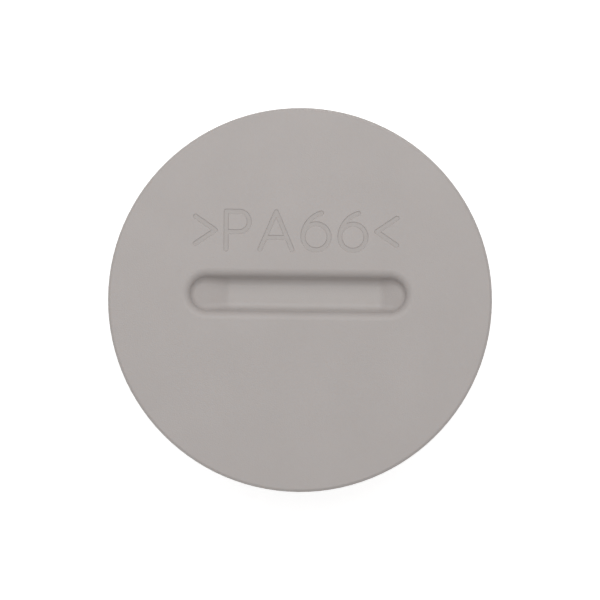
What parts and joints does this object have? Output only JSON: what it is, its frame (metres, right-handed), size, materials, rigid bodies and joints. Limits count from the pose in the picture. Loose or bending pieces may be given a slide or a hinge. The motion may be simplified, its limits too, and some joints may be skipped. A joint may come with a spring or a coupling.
{
  "type": "threaded blanking plug",
  "caption": "Round-headed threaded blanking plug with a coin slot, a hollow threaded shank and a flat sealing washer under its head.",
  "frame": {"origin": "on the plug's axis, in the plane where the sealing washer meets the wall", "axes": "+Z out of the head, away from the wall; +X along the coin slot; +Y from the slot towards the sunk material mark"},
  "size_m": [0.025, 0.025, 0.0145],
  "materials": {
    "grey_nylon": "light warm-grey moulded polyamide with a fine spark-eroded satin skin",
    "black_rubber": "matt black moulded nitrile rubber"
  },
  "bodies": {
    "plug": {"plug_body": "grey_nylon"},
    "washer": {"sealing_washer": "black_rubber"}
  },
  "joints": [
    {"name": "washer_turn", "type": "hinge", "parent": "plug", "child": "washer", "pos_m": [0, 0, 0.001], "axis": [0, 0, 1], "continuous": true}
  ]
}
